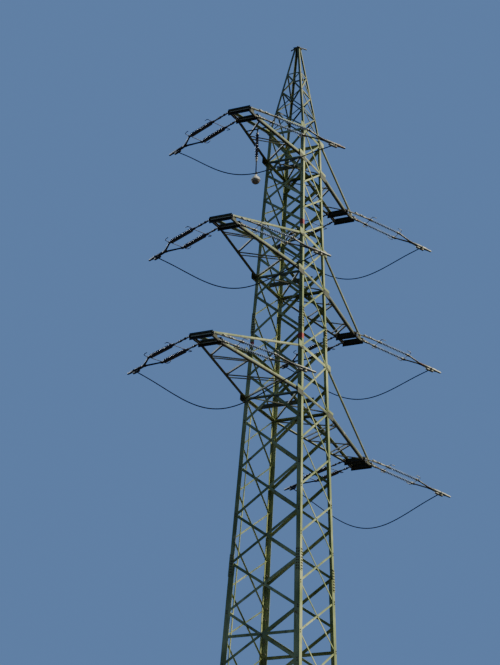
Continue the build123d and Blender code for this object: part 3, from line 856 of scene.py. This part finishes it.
fitting_steel = galvanised("fitting_steel", 0.56, steel_pale, steel_grey)
yoke_iron = galvanised("yoke_iron", 0.54, iron_dark, steel_dark)
dress([f"{side}_fittings_{level}" for _, side in sides for level in level_names], fitting_steel)
dress(["peak_cap"], fitting_steel)
for sx, side_name in sides:
    for level, level_name in enumerate(level_names):
        builder = bmesh.new()
        yokes = bmesh.new()
        horns = new_wire(f"{side_name}_horns_{level_name}", horn_radius, 2, fitting_steel)
        for sy in (-1, 1):
            place = string_frame(sx, sy, level)
            for side in (-1, 1):
                y = side * eye_half * place.col[1].x
                aside = place @ Matrix.Translation((0, y, 0))
                add_caps(builder, aside, insulator_start, insulator_end)
                seat = Vector((link_start, y, 0))
                add_link(builder, place, seat, Vector((link_middle + link_lap, y, 0)), *seat_link)
                middle = Vector((link_middle, y, 0))
                add_link(builder, place, middle, Vector((insulator_start, y, 0)), *cap_link)
                far = Vector((insulator_end, y, 0))
                add_link(yokes, place, far, Vector((yoke_apex + 0.03, y * 0.05, 0)), *yoke_arm)
            near = Vector((yoke_apex - 0.08, 0, 0))
            add_link(yokes, place, near, Vector((clamp_start + 0.04, 0, 0)), *yoke_neck)
            add_clamp(builder, place)
            half = eye_half * abs(place.col[1].x)
            for at, back in ((insulator_start + 0.01, 1), (insulator_end - 0.01, -1)):
                for side in (-1, 1):
                    route = [Vector((at, 0, 0)), Vector((at, side * half, 0)),
                             Vector((at - back * 0.02, side * (half + horn_reach * 0.7), 0.01)),
                             Vector((at + back * 0.02, side * (half + horn_reach), 0.03)),
                             Vector((at + back * 0.16, side * (half + horn_reach * 0.85), 0.05))]
                    add_route(horns, [place @ point for point in route], 4)
        tidy_turned(builder)
        tidy_turned(yokes)
        finish_piece(f"{side_name}_caps_{level_name}", builder, fitting_steel)
        finish_piece(f"{side_name}_yokes_{level_name}", yokes, yoke_iron)
        horn_piece = bpy.data.objects.new(horns.name, horns)
        bpy.context.scene.collection.objects.link(horn_piece)
        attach(horn_piece, "root")

# The jumpers. Bare stranded aluminium conductor that hangs from clamp to clamp under each arm's
# tip and carries the current past the tower. The upper west one is held up by its own support.
jumper_diameter = 0.036
jumper_runs = 13
jumper_parabola_share = 0.55
jumper_sags = {-1: (1.320, 1.210, 1.360), 1: (1.440, 1.250, 1.300)}
support_bow = 0.720
strand_grey = (0.026, 0.028, 0.032, 1)
strand_dark = (0.008, 0.009, 0.012, 1)


def jumper_end(sx, sy, level):
    """Where a jumper meets the lug under a clamp."""
    return string_frame(sx, sy, level) @ Vector((lug_distance, 0, -lug_drop))


def jumper_points(sx, level):
    """The points that a jumper's route is drawn through, in order from north to south."""
    start = jumper_end(sx, 1, level)
    span = jumper_end(sx, -1, level) - start
    points = []
    for i in range(jumper_runs + 1):
        share = i / jumper_runs
        parabola = 4 * share * (1 - share)
        wave = (1 - cos(2 * pi * share)) / 2
        shape = jumper_parabola_share * parabola + (1 - jumper_parabola_share) * wave
        fall = jumper_sags[sx][level] * shape
        bow = support_bow * sin(pi * share) if (sx, level) == (-1, 2) else 0
        points.append(start + span * share + Vector((-bow, 0, -fall)))
    return points


def stranded_aluminium():
    """Weathered aluminium, dull and nearly black where soot has settled."""
    material, tree, shader = new_material("stranded_aluminium")
    place = tree.node("TexCoord", {}, {}, "Object")
    soot = spread(noise(place, 3.0, 5.0), 0.40, 0.60)
    grain = noise(place, 60.0, 3.0)
    blended(soot, strand_grey, strand_dark).into(shader, "Base Color")
    (0.40 + grain * 0.3).into(shader, "Roughness")
    bumped(grain, 0.0008).into(shader, "Normal")
    shader.inputs["Specular IOR Level"].default_value = 0.25
    return material


conductor = stranded_aluminium()
for sx, side_name in sides:
    for level, level_name in enumerate(level_names):
        points = jumper_points(sx, level)
        curve = new_wire(f"{side_name}_jumper_wire_{level_name}", jumper_diameter / 2, 3, conductor)
        add_route(curve, points, 10)
        wire = bpy.data.objects.new(curve.name, curve)
        bpy.context.scene.collection.objects.link(wire)
        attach(wire, "root")
        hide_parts(f"{side_name}_jumper_{level_name}")

# The support of the upper west jumper. One long-rod insulator hangs under the arm, and a rod
# below it holds the jumper and ends in a round cast weight that keeps it from swinging.
support_link = 0.130
support_length = 1.050
support_rod_radius = 0.022
support_sheds = {"core": 0.030, "shed": 0.062, "count": 14, "thin": 0.10, "flare": 0.24}
weight_radius = 0.150
weight_half_height = 0.140
weight_neck = 0.045
weight_steps = 16
weight_seam = 0.010
seam_half = 0.012
weight_pale = (0.520, 0.500, 0.370, 1)
weight_shade_brown = (0.100, 0.062, 0.040, 1)
hanger_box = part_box("jumper_support_insulator")
weight_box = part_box("jumper_support_weight")
support_axis = (Vector(hanger_box[0]) + Vector(hanger_box[1])) / 2
support_top = hanger_box[1][2]
weight_middle = weight_box[0][2] + weight_half_height
hanging = aimed(Vector((support_axis.x, support_axis.y, support_top)),
                Vector((support_axis.x, support_axis.y, weight_middle)))
weight_drop = support_top - weight_middle


def stained_and_shaded_iron():
    """Cast iron under old pale paint with rust stains, and painted shade in brown over its lower half."""
    material, tree, shader = new_material("stained_and_shaded_iron")
    place = tree.node("TexCoord", {}, {}, "Object")
    stains = noise(place, 9.0, 7.0)
    # Painted shade: the lower half turns brown.
    lower_shade = 1 - spread(height_of(place) + stains * 0.10, weight_middle - 0.04, weight_middle + 0.10)
    colour = blended(lower_shade * 0.85, weight_pale, weight_shade_brown)
    colour = blended(spread(stains, 0.52, 0.66) * 0.6, colour, rust_brown)
    colour.into(shader, "Base Color")
    (0.55 + stains * 0.3).into(shader, "Roughness")
    bumped(noise(place, 45.0, 5.0), 0.0015).into(shader, "Normal")
    return material


builder = bmesh.new()
outline = insulator_profile(support_link, support_link + support_length, support_sheds)
spin_profile(builder, outline, hanging, 12)
tidy_turned(builder)
piece = finish_piece("jumper_support_porcelain", builder, porcelain)
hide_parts("jumper_support_insulator")
builder = bmesh.new()
shackle = [(0, 0), (0, 0.034), (0.05, 0.034), (0.07, 0.020), (support_link + 0.02, 0.020),
           (support_link + 0.02, 0)]
spin_profile(builder, shackle, hanging, 8)
foot = support_link + support_length
add_caps(builder, hanging, support_link, foot)
rod_end = weight_drop - weight_radius + 0.01
rod = [(foot - 0.02, 0), (foot - 0.02, 0.036), (foot + 0.06, 0.036),
       (foot + 0.09, support_rod_radius), (rod_end, support_rod_radius), (rod_end, 0)]
spin_profile(builder, rod, hanging, 8)
tidy_turned(builder)
finish_piece("jumper_support_rod", builder, fitting_steel)
builder = bmesh.new()
weight_top = weight_drop - weight_radius
outline = [(weight_top - 0.045, 0), (weight_top - 0.045, weight_neck), (weight_top - 0.010, weight_neck)]
for step in range(2, 9):
    turned = pi * step / weight_steps
    outline.append((weight_drop - weight_radius * cos(turned), weight_radius * sin(turned)))
seam_radius = weight_radius + weight_seam
outline += [(weight_drop - seam_half, seam_radius), (weight_drop + seam_half, seam_radius)]
for step in range(8, 16):
    turned = pi * step / weight_steps
    outline.append((weight_drop - weight_radius * cos(turned), weight_radius * sin(turned)))
outline.append((weight_drop + weight_radius, 0))
spin_profile(builder, outline, hanging, 24)
tidy_turned(builder)
piece = finish_piece("jumper_support_ball", builder, stained_and_shaded_iron())
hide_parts("jumper_support_weight")

# The support's clip. A sleeve grips the jumper where it passes the rod, and a short stub on it
# points at the rod.
clip_run = 7
clip_half_share = 0.09
grip = jumper_points(-1, 2)
before, after = grip[clip_run], grip[clip_run + 1]
builder = bmesh.new()
clip = aimed(before.lerp(after, 0.5 - clip_half_share), before.lerp(after, 0.5 + clip_half_share))
clip_length = (after - before).length * 2 * clip_half_share
spin_profile(builder, [(0, 0.019), (0, 0.030), (0.012, 0.036), (clip_length - 0.012, 0.036),
                       (clip_length, 0.030), (clip_length, 0.019)], clip, 12)
arm = aimed((before + after) / 2, Vector((support_axis.x, support_axis.y, ((before + after) / 2).z)))
spin_profile(builder, [(0.015, 0), (0.015, 0.026), (0.045, 0.026), (0.045, 0)], arm, 8)
tidy_turned(builder)
finish_piece("jumper_support_clip", builder, fitting_steel)

# The floor and the light. One strong sun from the south and a weaker one from the north stand in
# for the photo's sunlight. The backdrop is blue and turns grey below the horizon.
world_high = (0.11, 0.20, 0.42, 1)
world_low = (0.07, 0.075, 0.08, 1)
floor_radius = 9
floor_colour = (0.24, 0.24, 0.235, 1)
floor_dust = (0.29, 0.29, 0.28, 1)
floor_mesh = bpy.data.meshes.new("floor")
builder = bmesh.new()
bmesh.ops.create_circle(builder, cap_ends=True, segments=96, radius=floor_radius)
builder.to_mesh(floor_mesh)
builder.free()
floor = bpy.data.objects.new("floor", floor_mesh)
bpy.context.scene.collection.objects.link(floor)
floor_paint, floor_tree, floor_shader = new_material("floor_paint")
floor_place = floor_tree.node("TexCoord", {}, {}, "Object")
blended(noise(floor_place, 0.2), floor_colour, floor_dust).into(floor_shader, "Base Color")
floor_shader.inputs["Roughness"].default_value = 0.9
floor_mesh.materials.append(floor_paint)

world = bpy.data.worlds.new("studio")
world.use_nodes = True
world_tree = Socket(world.node_tree)
backdrop = world.node_tree.nodes["Background"]
direction = world_tree.node("SeparateXYZ", {}, {0: world_tree.node("TexCoord", {}, {}, "Generated")}, "Z")
blended(spread(direction, -0.10, 0.12), world_low, world_high).into(backdrop, "Color")
backdrop.inputs["Strength"].default_value = 1.0
bpy.context.scene.world = world
for name, energy, spread_angle, colour, side in (
    ("key", 8.0, 15, (1.0, 0.95, 0.83), (0.28, -0.66, 0.70)),
    ("fill", 2.4, 25, (0.86, 0.93, 1.0), (0.25, 0.80, 0.45)),
):
    light_data = bpy.data.lights.new(name, "SUN")
    light_data.energy = energy
    light_data.angle = radians(spread_angle)
    light_data.color = colour
    light = bpy.data.objects.new(name, light_data)
    bpy.context.scene.collection.objects.link(light)
    light.rotation_mode = "QUATERNION"
    light.rotation_quaternion = Vector(side).to_track_quat("Z", "Y")

# The camera stands west-south-west of the tower, lower than its foot, and looks up.
photo_width = 500
photo_height = 665
focal_pixels = 2103.75
camera_place = (-60.065, -28.192, -5.235)
yaw = radians(26.310)
pitch = radians(23.183)
roll = radians(2.152)
forward = Vector((cos(pitch) * cos(yaw), cos(pitch) * sin(yaw), sin(pitch)))
level_right = forward.cross(Vector((0, 0, 1))).normalized()
level_up = level_right.cross(forward)
right = level_right * cos(roll) + level_up * sin(roll)
up = level_up * cos(roll) - level_right * sin(roll)
camera_data = bpy.data.cameras.new("camera")
camera_data.sensor_width = 36
camera_data.lens = focal_pixels * camera_data.sensor_width / max(photo_width, photo_height)
camera_data.clip_start = 1
camera_data.clip_end = 400
camera = bpy.data.objects.new("camera", camera_data)
bpy.context.scene.collection.objects.link(camera)
turn = Matrix((right, up, -forward)).transposed().to_4x4()
camera.matrix_world = Matrix.Translation(camera_place) @ turn
bpy.context.scene.camera = camera

bpy.context.view_layer.update()
